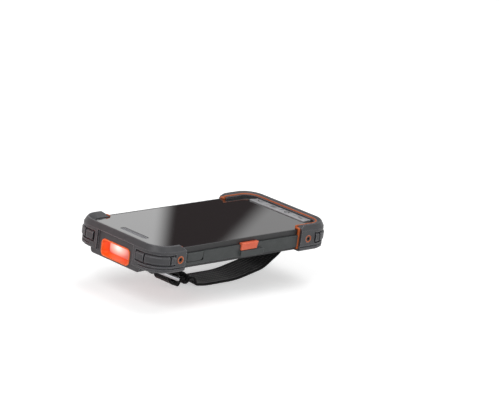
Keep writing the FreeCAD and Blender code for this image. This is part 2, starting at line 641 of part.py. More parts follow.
for name, end in ends.items():
    channel, blocks = corner_belt(end)
    base, groove = bumper(end, name)
    holes = slab("-pad_half - 1", "pad_half + 1", circle(screw_y[name], "screw_z", "ring_r"), axis="x")
    if name == "scan":
        face = slab("pad_low - 1", "-0.9", rect("-face_half", "face_half", "pad_scan - 2", "face_y"))
        opening = slab("pad_scan - 1", "case_scan + 1",
                       rounded("-scan_wide", "scan_wide", "scan_z - scan_tall", "scan_z + scan_tall",
                               "scan_round"), axis="y")
        hump = slab("case_scan - 0.1", "wing_scan",
                    rect("-hump_half - 0.1", "hump_half + 0.1", "-20", "back + 0.5"), axis="y")
        groove = cut(groove,
                     slab("pad_scan - 1", "case_scan", rect("-nose_half", "nose_half", "-20", "0"),
                          axis="y"))
        made = cut(fuse(cut(base, channel, groove), blocks), face, opening, hump, holes)
    else:
        opening = slab("case_key - 1", "pad_key + 2", rounded("-5.7", "5.7", "-10.6", "-5.9", "1"),
                       axis="y")
        flap_bed = slab("pad_key - 2.2", "pad_key + 2", rect("-8.4", "8.4", "-12.7", "-4.4"), axis="y")
        made = cut(fuse(cut(base, channel, groove), blocks), opening, flap_bed, holes)
    register(made, f"{name}_bumper")
    rings = slab("-pad_half - 0.2", "pad_half + 0.2", circle(screw_y[name], "screw_z", "ring_r"), axis="x")
    rings = cut(rings, slab("-case_half", "case_half", circle(screw_y[name], "screw_z", "5"), axis="x"))
    bores = slab("-pad_half - 1", "pad_half + 1", circle(screw_y[name], "screw_z", "shank_r + 0.1"),
                 axis="x")
    seats = slab("-pad_half - 1", "pad_half + 1", circle(screw_y[name], "screw_z", "head_r + 0.1"),
                 axis="x")
    seats = cut(seats,
                slab("-case_half - liner - 0.6", "case_half + liner + 0.6",
                     circle(screw_y[name], "screw_z", "5"), axis="x"))
    register(cut(fuse(liner_of(end, name), rings), bores, seats, opening), f"{name}_liner")
doc.recompute()

# Side screws, each in an orange ring of the liner

for side, x in (("left", 1), ("right", -1)):
    for name in ends:
        turn = Rotation(Vector(0, 1, 0), 90 * x)
        screw = new_body(f"side_screw_{side}_{name}")
        add(screw, "z", "case_half + liner + 0.6", "pad_half - 0.2", circle("0", "0", "head_r"))
        add(screw, "z", "case_half - wall", "case_half + liner + 0.6", circle("0", "0", "shank_r"))
        lobes = []
        for k in range(6):
            for swing, share in ((-12, 1), (12, 1), (30, 0.72)):
                a = math.radians(60 * k + swing)
                lobes.append((f"{1.05 * math.cos(a) * share:.3f}", f"{1.05 * math.sin(a) * share:.3f}"))
        take(screw, "z", "pad_half - 1.2", "pad_half", polygon(*lobes))
        place(screw, "0", screw_y[name], "screw_z", turn)

# Scan opening: bezel, window, engine and its lights

bezel = new_body("scan_bezel")
add(bezel, "y", "bezel_y", "bezel_back",
    rounded("-scan_wide", "scan_wide", "scan_z - scan_tall", "scan_z + scan_tall", "scan_round"))
inner = "scan_tall - bezel_rim"
loft(bezel, "y", "Subtractive",
     ("bezel_y - 0.01",
      rounded("-scan_wide + bezel_rim", "scan_wide - bezel_rim", f"scan_z - ({inner})", f"scan_z + {inner}",
              "2.4")),
     ("pane_y",
      rounded("-scan_wide + bezel_rim + 0.7", "scan_wide - bezel_rim - 0.7", f"scan_z - ({inner}) + 0.7",
              f"scan_z + {inner} - 0.7", "1.8")))
take(bezel, "y", "pane_y", "bezel_back + 1", rounded("-12.9", "12.9", "scan_z - 4.9", "scan_z + 4.9", "2"))

pane = new_body("scan_window")
add(pane, "y", "pane_y", "bezel_back", rounded("-12.85", "12.85", "scan_z - 4.85", "scan_z + 4.85", "1.95"))

engine = new_body("scan_engine")
add(engine, "y", "bezel_back + 0.2", "-59", rect("-10.8", "10.8", "hump_low + 1.2", "-6.2"))
take(engine, "y", "bezel_back", "-68", circle("2.5", "scan_z", "3.3"))
take(engine, "y", "bezel_back", "-70", circle("-4.6", "scan_z", "1.9"), circle("8.3", "scan_z", "1.4"))
take(engine, "z", "-10", "-6", rect("-12", "12", "-63", "-58"))
optics = new_body("scan_lens")
add(optics, "y", "-71.6", "-68", circle("2.5", "scan_z", "3.3"))
soften(optics, "Fillet", "0.8", lambda m, e: near(m.y, "-71.6"))
light = new_body("scan_light")
add(light, "y", "-71.4", "-70", circle("-4.6", "scan_z", "1.9"))
aimer = new_body("scan_aimer")
add(aimer, "y", "-71.4", "-70", circle("8.3", "scan_z", "1.4"))

# Side strips, scan keys, power key and volume rocker

for name, x in (("left", 1), ("right", -1)):
    def lane(low, high):
        return (low, high) if x > 0 else (neg(high), neg(low))
    strip = new_body(f"{name}_side_strip")
    add(strip, "x", *lane("case_half", "strip_out"),
        rounded("wing_scan + liner_show + 0.1", "wing_key - liner_show - 0.1", "strip_low", "strip_top",
                "0.4"))
    add(strip, "x", *lane("strip_out - 0.2", "scan_key_out + 0.1"),
        rounded("scan_key_a - 0.5", "scan_key_b + 5.5", "strip_low", "scan_key_low - 0.2", "1.2"))
    take(strip, "x", *lane("case_half - 1", "scan_key_out + 1"),
         rect("scan_key_a - 0.2", "scan_key_b + 0.2", "scan_key_low - 0.1", "0"))
    key = new_body(f"{name}_scan_key")
    add(key, "x", *lane("well_x + 0.7", "scan_key_out"),
        polygon(("scan_key_a", "scan_key_low"), ("scan_key_b - 1.2", "scan_key_low"),
                ("scan_key_b", "scan_key_top"), ("scan_key_a", "scan_key_top")))
    soften(key, "Chamfer", "0.5", lambda m, e: near(abs(m.x), "scan_key_out"))
    add(key, "x", *lane("case_half - wall", "well_x + 0.8"), circle("4", "-5.3", "0.9"))
    switch = new_body(f"{name}_scan_switch")
    add(switch, "x", *lane("board_half", "case_half - wall - 0.9"), rect("1", "7", "board_low", "web_low"))
    if name == "left":
        take(strip, "x", "case_half - 1", "strip_out + 1",
             rounded("cover_a - 0.2", "cover_b + 0.2", "cover_low - 0.2", "0", "0.8"))
    else:
        take(strip, "x", "-scan_key_out - 1", "-case_half + 1",
             rect("-30.1", "-21.9", "-9", "-5.5"), rect("21.9", "44.1", "-9", "-5.5"))

power = new_body("power_key")
add(power, "x", "-39.5", "-37.3", rounded("-30", "-22", "-8.9", "-5.6", "1.2"))
rocker = new_body("volume_rocker")
add(rocker, "x", "-39.5", "-37.3", rounded("22", "44", "-8.9", "-5.6", "1.2"))
take(rocker, "x", "-40", "-39.1", rounded("31", "35", "-9.2", "-5.3", "0.8"))
add(rocker, "z", "-8.9", "-5.6", circle("-37.3", "33", "0.5"))

# Audio jack and its hinged cover

jack = new_body("audio_jack")
add(jack, "x", "board_half", "case_half - wall", rect("jack_y - 3", "jack_y + 3", "jack_z - 3", "web_low"))
add(jack, "x", "case_half - wall - 0.1", "case_half - 0.1", circle("jack_y", "jack_z", "2.6"))
take(jack, "x", "board_half + 1", "case_half + 1", circle("jack_y", "jack_z", "1.8"))
cover = new_body("jack_cover")
add(cover, "x", "0", "1.3",
    polygon(("0", "cover_low"), ("12", "cover_low"), ("cover_b - cover_a - 0.7", "cover_low + 2.2"),
                                   ("cover_b - cover_a - 0.7", "cover_top"), ("0", "cover_top")))
add(cover, "z", "cover_low + 0.4", "cover_top - 0.4", circle("0.65", "0", "0.64"))
add(cover, "x", "-0.9", "0.1", circle("jack_y - cover_a - 0.7", "jack_z", "1.5"))
soften(cover, "Chamfer", "0.35", lambda m, e: near(m.x, "1.3") and m.y > 1)
place(cover, "case_half + 0.15", "cover_a + 0.7")

# Charging socket with its hinged cover at the key end

usb = new_body("charging_socket")
add(usb, "y", "case_key - 9", "case_key - 0.2", rounded("-4.5", "4.5", "-9.9", "board_low", "1.4"))
take(usb, "y", "case_key - 8", "case_key + 1", rounded("-4.2", "4.2", "-9.6", "board_low - 0.3", "1.1"))
add(usb, "y", "case_key - 8.1", "case_key - 2", rect("-3.3", "3.3", "-8.6", "-8"))
port_cover = new_body("charging_socket_cover")
add(port_cover, "y", "-0.8", "0.6", rounded("-8.2", "8.2", "0", "7", "0.5"))
add(port_cover, "x", "-8.2", "8.2", circle("0", "0", "0.7"))
add(port_cover, "y", "-1.8", "-0.7", rounded("-4.4", "4.4", "1.9", "5", "0.9"))
place(port_cover, "0", "pad_key - 1", "-11.7")

# Electronics

board = new_body("main_board")
add(board, "z", "board_low", "board_top", rect("-board_half", "board_half", "-57", "73"))
can = new_body("shield_can")
add(can, "z", "-9.4", "board_low", rounded("-22", "8", "-54", "-38", "1"))
contacts = new_body("battery_contacts")
add(contacts, "z", "-10.5", "board_low", rect("-24", "-12", "-37.4", "bay_scan"))
battery = new_body("battery_pack")
add(battery, "z", "back", "board_low - 0.4",
    rounded("-bay_half + 0.1", "bay_half - 0.1", "bay_scan + 0.1", "bay_key - 0.1", "1.5"))
take(battery, "y", "bay_scan", "bay_scan + 2.2", rect("-8.4", "8.4", "-13.3", "-12.2"))
soften(battery, "Chamfer", "0.4", lambda m, e: near(m.z, "back"))
latch = new_body("battery_latch")
add(latch, "z", "back", "-12.4", rounded("-8", "8", "-40.8", "bay_scan - 0.1", "0.8"))
add(latch, "z", "-13.2", "-12.4", rect("-7", "7", "bay_scan - 1", "bay_scan + 1.8"))
for y in ("-39.6", "-38.4", "-37.2"):
    take(latch, "z", "back - 1", "back + 0.3", rect("-5", "5", y, f"{y} + 0.5"))
speaker = new_body("loudspeaker")
add(speaker, "z", "seam_low", "board_low", rounded("-27.5", "-14.5", "46", "60", "2"))
motor = new_body("vibration_motor")
add(motor, "z", "-10", "board_low", circle("22", "62", "4"))
pads = new_body("cradle_contacts")
add(pads, "z", "back + 0.2", "-11", rect("18.1", "29.9", "49.1", "53.9"))
for x in ("19.5", "22.1", "24.7", "27.3"):
    add(pads, "z", "back", "back + 0.3", rect(x, f"{x} + 1.4", "49.9", "53.1"))
lens = new_body("rear_camera")
add(lens, "z", "back + 0.6", "board_low", circle("18", "-40", "4"))
lens_pane = new_body("rear_camera_window")
add(lens_pane, "z", "back", "back + 0.6", circle("18", "-40", "4.9"))
flash = new_body("flash_lens")
add(flash, "z", "back", "board_low", circle("27", "-40", "1.5"))
for n, (x, y) in enumerate(BOSSES, start=1):
    screw = new_body(f"rear_screw_{n}")
    add(screw, "z", "0", "1", circle("0", "0", "2"))
    add(screw, "z", "1", "6", circle("0", "0", "shank_r"))
    take(screw, "z", "-1", "0.6",
         polygon(("-1.1", "-0.25"), ("1.1", "-0.25"), ("1.1", "0.25"), ("-1.1", "0.25")))
    place(screw, x, y, "back + 0.1")

# Hand strap: bail, bar and the webbing

bail = new_body("strap_bail")
spine = new_sketch(bail, "z", "0", [])
bend = 3.2
tips = [("bail_tip", "0"), ("bail_half", "0"), ("bail_half", "bail_arm"), ("-bail_half", "bail_arm"),
        ("-bail_half", "0"), ("-bail_tip", "0")]
knees = [Vector(size(x), size(y), 0) for x, y in tips]
reach = [0, 1.6, bend, bend, 1.6, 0]
for n, knee in enumerate(knees[:-1]):
    along = (knees[n + 1] - knee).normalize()
    spine.addGeometry(Part.LineSegment(knee + along * reach[n], knees[n + 1] - along * reach[n + 1]), False)
for n in range(1, 5):
    before = (knees[n - 1] - knees[n]).normalize() * reach[n]
    after = (knees[n + 1] - knees[n]).normalize() * reach[n]
    middle = knees[n] + (before + after) * (1 - math.sqrt(0.5))
    spine.addGeometry(Part.Arc(knees[n] + before, middle, knees[n] + after), False)
    spine.addConstraint(Sketcher.Constraint("Coincident", n - 1, 2, 4 + n,
                                            1 if before.cross(after).z < 0 else 2))
    spine.addConstraint(Sketcher.Constraint("Coincident", n, 1, 4 + n,
                                            2 if before.cross(after).z < 0 else 1))
wire = new_sketch(bail, "x", "bail_tip", [circle("0", "0", "bail_wire")])
pipe = bail.newObject("PartDesign::AdditivePipe", "Bail_Pipe")
pipe.Profile = wire
pipe.Spine = (spine, [])
doc.recompute()
place(bail, "0", "bail_y", "bail_z", Rotation(Vector(1, 0, 0), -23))

bar = new_body("strap_bar")
add(bar, "x", "-strap_half - 3.5", "strap_half + 3.5", circle("0", "0", "bar_r"))
place(bar, "0", "bar_y", "bar_z")


def webbing(label, corners):
    """A strap along straight runs and arcs; each corner is its Y, its Z and the radius of its arc."""
    half = size("strap_thick / 2")
    spots = [Vector(0, y, z) for y, z, r in corners]
    runs = []
    at = spots[0]
    for n in range(1, len(spots) - 1):
        towards = (spots[n] - spots[n - 1]).normalize()
        away = (spots[n + 1] - spots[n]).normalize()
        turn = towards.cross(away).x
        angle = math.acos(max(-1.0, min(1.0, towards.dot(away))))
        radius = corners[n][2]
        leave = spots[n] - towards * radius * math.tan(angle / 2)
        enter = spots[n] + away * radius * math.tan(angle / 2)
        side = Vector(0, -towards.z, towards.y) * (1 if turn > 0 else -1)
        runs.append((at, leave, None, 0))
        runs.append((leave, enter, leave + side * radius, radius))
        at = enter
    runs.append((at, spots[-1], None, 0))
    sides = {1: [], -1: []}
    for way in sides:
        for start, end, centre, radius in runs:
            if centre is None:
                along = (end - start).normalize()
                off = Vector(0, -along.z, along.y) * half * way
                sides[way].append(Part.LineSegment(start + off, end + off).toShape())
            else:
                first, last = start - centre, end - centre
                middle = (first + last).normalize()
                along = Vector(0, middle.z, -middle.y)
                if along.dot(end - start) < 0:
                    along = along * -1
                grow = half * way * Vector(0, -along.z, along.y).dot(middle)
                ends_of = [centre + first.normalize() * (radius + grow), centre + middle * (radius + grow),
                           centre + last.normalize() * (radius + grow)]
                sides[way].append(Part.Arc(*ends_of).toShape())
    caps = [Part.LineSegment(sides[1][n].Vertexes[n].Point,
                             sides[-1][n].Vertexes[n].Point).toShape() for n in (0, -1)]
    wires = Part.sortEdges(sides[1] + sides[-1] + caps)
    face = Part.Face(Part.Wire(wires[0]))
    wide = size("strap_half")
    face.translate(Vector(-wide, 0, 0))
    thing = doc.addObject("Part::Feature", "Webbing")
    thing.Shape = face.extrude(Vector(2 * wide, 0, 0))
    return register(thing, label)


def turn_round(y, z, r, first, last, step=45):
    """Corners of the path round a bar, from one angle to another in degrees."""
    count = max(1, round(abs(last - first) / step))
    angles = [math.radians(first + (last - first) * n / count) for n in range(count + 1)]
    out = r / math.cos(math.radians(abs(last - first) / count / 2))
    return [(y + out * math.cos(a), z + out * math.sin(a), r * 0.98) for a in angles]


bail_y1 = size("bail_y + bail_arm * cos(23)")
bail_z1 = size("bail_z - bail_arm * sin(23)")
low = size("-lift + strap_thick / 2")
path = turn_round(bail_y1, bail_z1, 3.9, 20, 245)
path += [(-25.6, low + 1.2, 1.6), (-23.2, low + 7.4, 1.5), (-19.6, low + 1.4, 1.5), (-15.6, low + 7.6, 1.7),
         (-11.2, low + 0.9, 3),
         (-3, low, 60), (25, low, 80), (50, low + 5, 24), (65.5, low + 15, 6)]
path += turn_round(size("bar_y"), size("bar_z"), size("bar_r + strap_thick / 2 + 0.15"), 0, 225)
webbing("hand_strap", path)
doc.recompute()

# Checks and export

def status(thing):
    return [str(word) for word in thing.State]


bad = [o.Name for o in doc.Objects if "Invalid" in status(o) or "Error" in status(o)]
bad += [o.Label for o in nodes if o.Shape.isNull() or not o.Shape.isValid()]
if bad:
    raise RuntimeError("not built: " + ", ".join(bad))

os.makedirs("parts", exist_ok=True)
for node in nodes:
    node.Shape.exportStep(f"parts/{node.Label}.step")
print(len(nodes), "sub-parts")
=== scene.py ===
import math

import bmesh
import bpy
from mathutils import Matrix, Vector


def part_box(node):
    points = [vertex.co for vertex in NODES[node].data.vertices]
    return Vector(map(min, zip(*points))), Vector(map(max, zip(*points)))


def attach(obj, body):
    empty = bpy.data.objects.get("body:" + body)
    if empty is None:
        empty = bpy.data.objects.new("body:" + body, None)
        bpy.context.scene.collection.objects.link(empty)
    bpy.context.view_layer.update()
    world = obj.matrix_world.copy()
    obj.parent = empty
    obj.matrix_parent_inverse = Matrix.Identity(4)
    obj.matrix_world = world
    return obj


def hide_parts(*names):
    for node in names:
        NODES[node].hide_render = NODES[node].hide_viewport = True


# The dressed scene of a rugged hand-held terminal. The solids come from the frame and get their
# materials here. Pieces too fine for the solids are made here and ride on the bodies.
# Its width is along X, with the scan end at -Y and the key end at +Y. Shapes are written in
# millimetres with Z measured from the top of the screen glass, so most Z are negative.

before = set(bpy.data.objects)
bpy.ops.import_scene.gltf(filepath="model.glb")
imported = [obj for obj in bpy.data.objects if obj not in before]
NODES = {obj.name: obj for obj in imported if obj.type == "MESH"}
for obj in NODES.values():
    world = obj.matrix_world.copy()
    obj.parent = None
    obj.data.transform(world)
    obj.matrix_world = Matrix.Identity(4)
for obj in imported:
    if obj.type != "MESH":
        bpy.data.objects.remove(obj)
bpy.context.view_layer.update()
MM = 0.001
GLASS_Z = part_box("cover_glass")[1][2]
WHITE, BLACK = (1, 1, 1, 1), (0, 0, 0, 1)


# Colour and node helpers

def linear(code):
    """An sRGB hex colour as linear red, green, blue and alpha."""
    parts = [int(code[i:i + 2], 16) / 255 for i in (0, 2, 4)]
    return [c / 12.92 if c <= 0.04045 else ((c + 0.055) / 1.055) ** 2.4 for c in parts] + [1.0]


def add_node(tree, kind, links=None, stops=(), **settings):
    """Adds a shader node with its inputs, its colour stops and its settings.

    An input given as a tuple of a node and its socket is a link from there, and any other is a value.
    """
    node = tree.nodes.new("ShaderNode" + kind)
    for name, value in settings.items():
        setattr(node, name, value)
    for socket, value in (links or {}).items():
        if isinstance(value, tuple) and isinstance(value[0], bpy.types.Node):
            tree.links.new(value[0].outputs[value[1]], node.inputs[socket])
        else:
            node.inputs[socket].default_value = value
    if stops:
        while len(node.color_ramp.elements) < len(stops):
            node.color_ramp.elements.new(0.5)
        for element, (at, colour) in zip(node.color_ramp.elements, stops):
            element.position = at
            element.color = colour
    return node


def finish(name, **surface):
    """A new material: its tree, its surface shader and object coordinates to texture it with."""
    material = bpy.data.materials.new(name)
    material.use_nodes = True
    tree = material.node_tree
    tree.nodes.clear()
    shader = add_node(tree, "BsdfPrincipled", surface)
    add_node(tree, "OutputMaterial", {"Surface": (shader, 0)})
    where = add_node(tree, "TexCoord")
    return material, tree, shader, (where, "Object")


def grains(where, pitch_mm, detail=2.0):
    """Inputs of a noise whose grains are about pitch_mm apart."""
    return {"Vector": where, "Scale": 1 / (pitch_mm * MM), "Detail": detail, "Roughness": 0.6}


def grey(level):
    """An opaque linear grey."""
    return level, level, level, 1


# Materials, each named for what the real piece is made of

# Sockets of the colour Mix node, whose names repeat for each kind of data
MIX_SHARE, MIX_A, MIX_B, MIX_RESULT = 0, 6, 7, 2
# Ramp positions that spread the middle of a noise over its whole range
LOW, HIGH = 0.3, 0.7
# Cosine between the rounded and the true normal where an edge is fully paled, by wear and by a painted
# highlight, and where it is untouched
EDGE_PALEST, EDGE_WHOLE = 0.86, 0.985
# Distances over which a moulding's colour and its shine wander
TONE_MM, SHINE_MM = 9.0, 3.0


def moulded(name, dark, light, rough, grain_mm, height_mm, edge_mm, edge_wear_and_highlight=None, **surface):
    """A moulded plastic or rubber: fine grain, softened edges, uneven colour and paler edges, partly wear from
    rubbing and partly a painted highlight.
    """
    material, tree, shader, where = finish(name, **{"IOR": 1.5, **surface})
    patches = add_node(tree, "TexNoise", grains(where, TONE_MM, detail=4.0))
    tone = add_node(tree, "ValToRGB", {"Fac": (patches, "Fac")}, [(0.35, linear(dark)), (0.65, linear(light))])
    soft = add_node(tree, "Bevel", {"Radius": edge_mm * MM}, samples=4)
    colour = (tone, "Color")
    # Paler edges all round: partly wear from rubbing, partly a painted highlight where the edges catch the
    # light
    if edge_wear_and_highlight:
        true = add_node(tree, "NewGeometry")
        bend = add_node(tree, "VectorMath", {0: (soft, "Normal"), 1: (true, "Normal")},
                        operation="DOT_PRODUCT")
        edge = add_node(tree, "ValToRGB", {"Fac": (bend, "Value")}, [(EDGE_PALEST, WHITE), (EDGE_WHOLE, BLACK)])
        wear_and_highlight_mix = add_node(tree, "Mix", {MIX_SHARE: (edge, "Color"), MIX_A: colour, MIX_B: linear(edge_wear_and_highlight)},
                          data_type="RGBA")
        colour = (wear_and_highlight_mix, MIX_RESULT)
    tree.links.new(colour[0].outputs[colour[1]], shader.inputs["Base Color"])
    clouds = add_node(tree, "TexNoise", grains(where, SHINE_MM))
    shine = add_node(tree, "ValToRGB", {"Fac": (clouds, "Fac")},
                     [(LOW, grey(rough - 0.05)), (HIGH, grey(rough + 0.05))])
    tree.links.new(shine.outputs["Color"], shader.inputs["Roughness"])
    texture = add_node(tree, "TexNoise", grains(where, grain_mm))
    bump = add_node(tree, "Bump", {"Height": (texture, "Fac"), "Normal": (soft, "Normal"),
                                   "Distance": height_mm * MM, "Strength": 1.0})
    tree.links.new(bump.outputs["Normal"], shader.inputs["Normal"])
    return material


def metal(name, colour, rough, grain_mm=0.4):
    """A bare or plated metal with fine uneven shine."""
    material, tree, shader, where = finish(name, **{"Metallic": 1.0, "Base Color": linear(colour)})
    marks = add_node(tree, "TexNoise", grains(where, grain_mm))
    shine = add_node(tree, "ValToRGB", {"Fac": (marks, "Fac")},
                     [(LOW, grey(rough - 0.06)), (HIGH, grey(rough + 0.08))])
    tree.links.new(shine.outputs["Color"], shader.inputs["Roughness"])
    return material


# Moulded TPU of the bumpers: dark warm grey, dry and faintly mottled, with paler edges that are partly wear and
# partly a painted highlight
tpu_grey = moulded("tpu_grey_moulded", "2B2B2E", "343437", 0.5, 0.35, 0.03, 0.8, edge_wear_and_highlight="85858A",
                   **{"Coat Weight": 0.12, "Coat Roughness": 0.35})
# Moulded TPU of the liner: copper orange with a soft shine
tpu_orange = moulded("tpu_orange_moulded", "B85420", "C8642C", 0.42, 0.4, 0.01, 0.2, edge_wear_and_highlight="E09A66")
# Two-shot ABS of the bezel: clean bright orange
abs_orange = moulded("abs_orange_moulded", "F06A20", "F67628", 0.34, 0.5, 0.005, 0.25)
# Silicone of the scan keys: salmon orange, matt, a little paler at the edges, partly where thumbs rub them and
# partly as a painted highlight
silicone_orange = moulded("silicone_orange_moulded", "E4603E", "EE6E4A", 0.45, 0.4, 0.01, 0.35, edge_wear_and_highlight="F79878")
# Glass-filled nylon of the front and middle frame: near black with a dull sheen
nylon_black = moulded("nylon_black_moulded", "111112", "161618", 0.45, 0.3, 0.02, 0.3, edge_wear_and_highlight="2C2C2F")
# Polycarbonate of the side strips: dark grey with a touch of green, spark-eroded texture
polycarbonate_grey = moulded("polycarbonate_grey_textured", "2C3030", "353939", 0.5, 0.4, 0.03, 0.4,
                             edge_wear_and_highlight="5A5F5F")
# Polycarbonate of the rear housing and the battery: black, spark-eroded texture
polycarbonate_black = moulded("polycarbonate_black_textured", "1C1D1F", "242527", 0.55, 0.4, 0.04, 0.3,
                              edge_wear_and_highlight="3C3D40")
# Painted polycarbonate of the front keys: silver grey metallic paint
key_paint = moulded("polycarbonate_silver_painted", "A2A3A6", "AEAFB2", 0.36, 0.3, 0.006, 0.3, edge_wear_and_highlight="D2D3D6",
                    Metallic=0.35)
# Pad-printed ink of the marks on the front keys: dull near black
ink_black = moulded("pad_print_ink_black", "1A1A1C", "242426", 0.6, 0.2, 0.004, 0.05)
# Solder mask of the board: dark green lacquer
solder_mask = moulded("solder_mask_green", "0E3B22", "114428", 0.4, 0.6, 0.01, 0.1)
# White silicone over the scan light and the flash: milky and soft
diffuser = moulded("silicone_white_diffuser", "F2EFEA", "F6F3EE", 0.45, 0.5, 0.005, 0.1)
# Red silicone over the aimer and the scan lens: deep red, a little glossy
red_diffuser = moulded("silicone_red_diffuser", "C01818", "CC2020", 0.4, 0.5, 0.005, 0.1)
# Zinc-plated steel of the strap bar and the stamped cans: pale grey, half matt
steel_zinc = metal("steel_zinc_plated", "A8AAAD", 0.34)
# Nickel-plated steel of the bail and the charging socket: bright silver
steel_nickel = metal("steel_nickel_plated", "C2C3C6", 0.24)
# Nickel-plated mesh of the earpiece: darker silver, because its wires shade each other
steel_mesh = metal("steel_mesh_nickel", "8C8C90", 0.4)
# Black oxide steel of the screws: dark brown grey with a low shine
steel_black = metal("steel_black_oxide", "4A4848", 0.38)
# Gold-plated brass of the contacts: bright warm yellow
brass_gold = metal("brass_gold_plated", "E2B866", 0.25)
# Polyester thread of the stitches: black and a little fuzzy
thread_black = moulded("polyester_thread_black", "1C1C1E", "2A2A2C", 0.6, 0.2, 0.02, 0.1,
                       **{"Sheen Weight": 0.3})

# Chemically strengthened glass over a dark panel: a black mirror with faint smears
screen_glass, tree, shader, where = finish("strengthened_glass_black", **{
    "Base Color": linear("101113"), "IOR": 1.52, "Specular IOR Level": 0.5, "Coat Weight": 1.0,
    "Coat Roughness": 0.03})
smears = add_node(tree, "TexNoise", grains(where, 14.0, detail=3.0))
shine = add_node(tree, "ValToRGB", {"Fac": (smears, "Fac")}, [(0.4, grey(0.03)), (0.75, grey(0.09))])
tree.links.new(shine.outputs["Color"], shader.inputs["Roughness"])

# Clear polycarbonate of the scan window, with the scan light behind it painted on as an emitted glow: a white
# core that falls off to pink and then to dull red 18 mm away from the light. The glow is wider than it is tall
SCAN_LIGHT = (-4.6 * MM, -73.6 * MM, GLASS_Z - 10.6 * MM)
GLOW_REACH = 18 * MM
GLOW_SQUEEZE = (1.0, 1.0, 1.7)
window_painted_glow, tree, shader, where = finish("polycarbonate_clear_painted_glow", **{
    "Roughness": 0.12, "IOR": 1.58, "Emission Strength": 1.0})
away = add_node(tree, "VectorMath", {0: where, 1: SCAN_LIGHT}, operation="SUBTRACT")
squeezed = add_node(tree, "VectorMath", {0: (away, "Vector"), 1: GLOW_SQUEEZE}, operation="MULTIPLY")
gap = add_node(tree, "VectorMath", {0: (squeezed, "Vector")}, operation="LENGTH")
share = add_node(tree, "MapRange", {"Value": (gap, "Value"), "From Min": 0.0, "From Max": GLOW_REACH})
glow = add_node(tree, "ValToRGB", {"Fac": (share, "Result")}, [
    (0.08, linear("FFF6EE")), (0.28, linear("FFC0B0")), (0.55, linear("D87468")), (1.0, linear("A8504A"))])
tree.links.new(glow.outputs["Color"], shader.inputs["Emission Color"])
# The base colour is painted paler near the scan light and darker away from it, as painted light
painted_glow_tint = add_node(tree, "ValToRGB", {"Fac": (share, "Result")}, [
    (0.0, linear("7A3A34")), (1.0, linear("5A2420"))])
tree.links.new(painted_glow_tint.outputs["Color"], shader.inputs["Base Color"])

# Elastic webbing of nylon over rubber: deep black and dry, with cross ribs 1.8 mm apart and lengthwise
# cords 2.8 mm apart. Both are drawn about twice as coarse as the real weave, so that they show
RIB_PITCH, CORD_PITCH = 1.8 * MM, 2.8 * MM
WAVE_TURN = math.tau / 20  # a wave texture of scale 1 repeats after this length
webbing_black, tree, shader, _ = finish("nylon_elastic_woven", **{
    "IOR": 1.5, "Sheen Weight": 0.35, "Sheen Roughness": 0.4, "Specular IOR Level": 0.25, "Roughness": 0.82})
lay = (add_node(tree, "UVMap"), "UV")
ribs = add_node(tree, "TexWave", {"Vector": lay, "Scale": WAVE_TURN / RIB_PITCH, "Distortion": 0.6,
                                  "Detail": 1.0}, bands_direction="Y")
cords = add_node(tree, "TexWave", {"Vector": lay, "Scale": WAVE_TURN / CORD_PITCH, "Distortion": 0.3},
                 bands_direction="X")
weave = add_node(tree, "Math", {0: (ribs, "Fac"), 1: (cords, "Fac")}, operation="MULTIPLY")
threads = add_node(tree, "ValToRGB", {"Fac": (weave, 0)}, [(0.1, linear("0B0B0C")), (0.9, linear("1C1C1E"))])
tree.links.new(threads.outputs["Color"], shader.inputs["Base Color"])
cloth_bump = add_node(tree, "Bump", {"Height": (weave, 0), "Distance": 0.25 * MM, "Strength": 0.8})
tree.links.new(cloth_bump.outputs["Normal"], shader.inputs["Normal"])

# What each solid is made of; the front keys and the screws come in runs, found by how their names begin
MADE_OF = [
    (screen_glass, ("cover_glass", "display_module", "front_camera", "rear_camera", "rear_camera_window")),
    (nylon_black, ("front_frame", "middle_frame", "battery_latch", "power_key", "volume_rocker", "glass_seal",
                   "earpiece_speaker", "scan_engine", "audio_jack", "loudspeaker", "left_scan_switch",
                   "right_scan_switch", "hand_strap")),
    (polycarbonate_black, ("rear_housing", "battery_pack")),
    (polycarbonate_grey, ("left_side_strip", "right_side_strip", "jack_cover")),
    (tpu_grey, ("scan_bumper", "key_bumper", "charging_socket_cover")),
    (tpu_orange, ("scan_liner", "key_liner")),
    (abs_orange, ("scan_bezel",)),
    (silicone_orange, ("left_scan_key", "right_scan_key")),
    (key_paint, ("front_key_",)),
    (solder_mask, ("main_board",)),
    (window_painted_glow, ("scan_window",)),
    (diffuser, ("scan_light", "flash_lens")),
    (red_diffuser, ("scan_lens", "scan_aimer")),
    (steel_zinc, ("key_dome_sheet", "shield_can", "vibration_motor", "strap_bar")),
    (steel_nickel, ("charging_socket", "strap_bail")),
    (steel_mesh, ("earpiece_mesh",)),
    (steel_black, ("side_screw", "rear_screw")),
    (brass_gold, ("battery_contacts", "cradle_contacts")),
]
IN_RUNS = ("front_key_", "side_screw", "rear_screw")
SKIN = {name: material for material, names in MADE_OF for name in names}
for name, node in NODES.items():
    run = next((start for start in IN_RUNS if name.startswith(start)), name)
    for slot in node.material_slots:
        slot.link = "OBJECT"
        slot.material = SKIN[run]


# Mesh helpers: points in millimetres with Z from the glass, turned to metres when the piece is made

